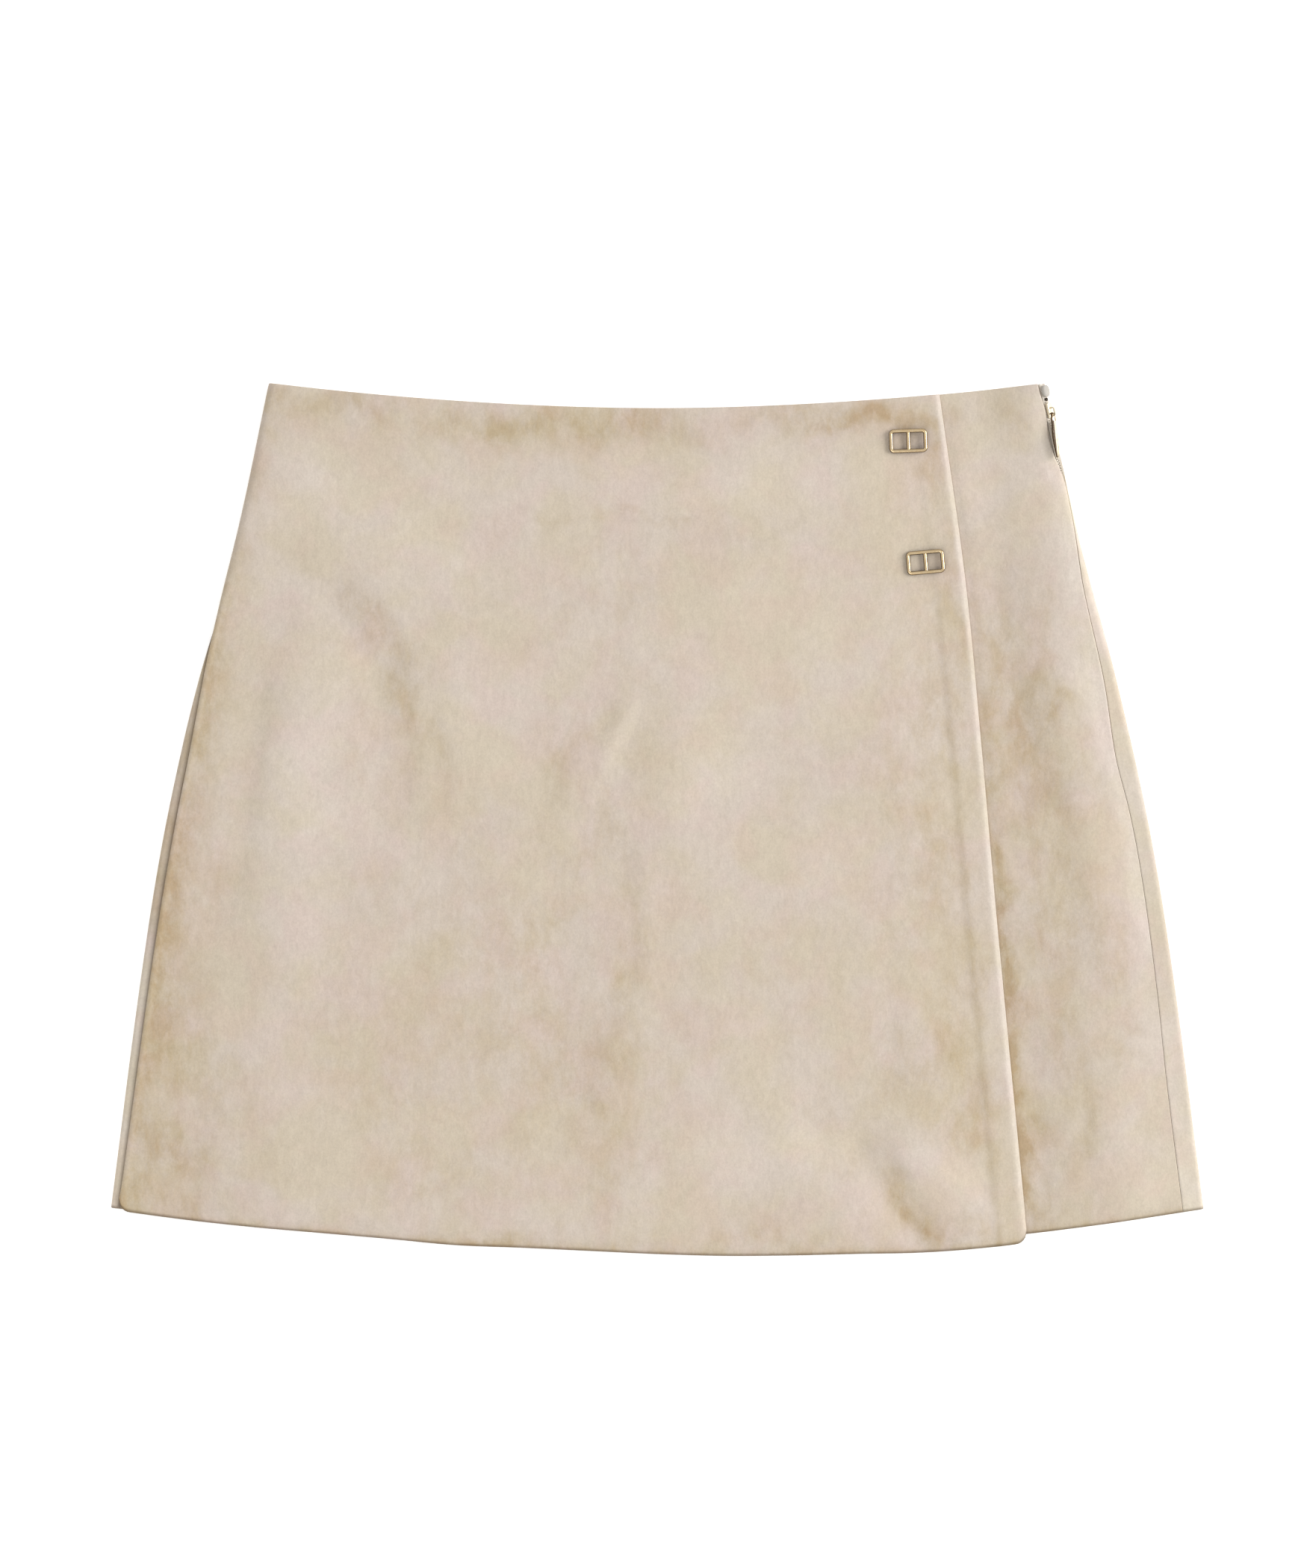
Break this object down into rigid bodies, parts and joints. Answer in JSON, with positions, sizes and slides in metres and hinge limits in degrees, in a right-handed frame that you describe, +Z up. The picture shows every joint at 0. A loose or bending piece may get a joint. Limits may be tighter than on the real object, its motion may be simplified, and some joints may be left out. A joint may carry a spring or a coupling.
{
  "type": "wrap-front skort laid flat",
  "caption": "Suede-cloth wrap-front skort laid flat: shorts under a wrapped front panel, side zip with a hinged pull tab, and small metal slides on the wrap.",
  "frame": {"origin": "middle of the bounding box, on the surface that the skort lies on", "axes": "+X across the skort to the side with the zip, +Y from hem to waist, +Z up from the surface"},
  "size_m": [0.487, 0.3887, 0.0098],
  "materials": {
    "suede": "matt brushed nap, sand beige, soft mottling",
    "zip_tape": "woven tape, beige",
    "gold_metal": "polished pale gold plating"
  },
  "bodies": {
    "garment": {"back_left": "suede", "back_right": "suede", "front_left": "suede", "front_right": "suede", "wrap_front": "suede", "zip_tape": "zip_tape", "zip_slider": "gold_metal", "slide_upper": "gold_metal", "slide_lower": "gold_metal"},
    "pull": {"zip_pull": "gold_metal"}
  },
  "joints": [
    {"name": "pull_hinge", "type": "hinge", "parent": "garment", "child": "pull", "pos_m": [0.17627, 0.18133, 0.00536], "axis": [-0.5327, -0.1134, 0.8387], "range_deg": [0, 165]}
  ]
}
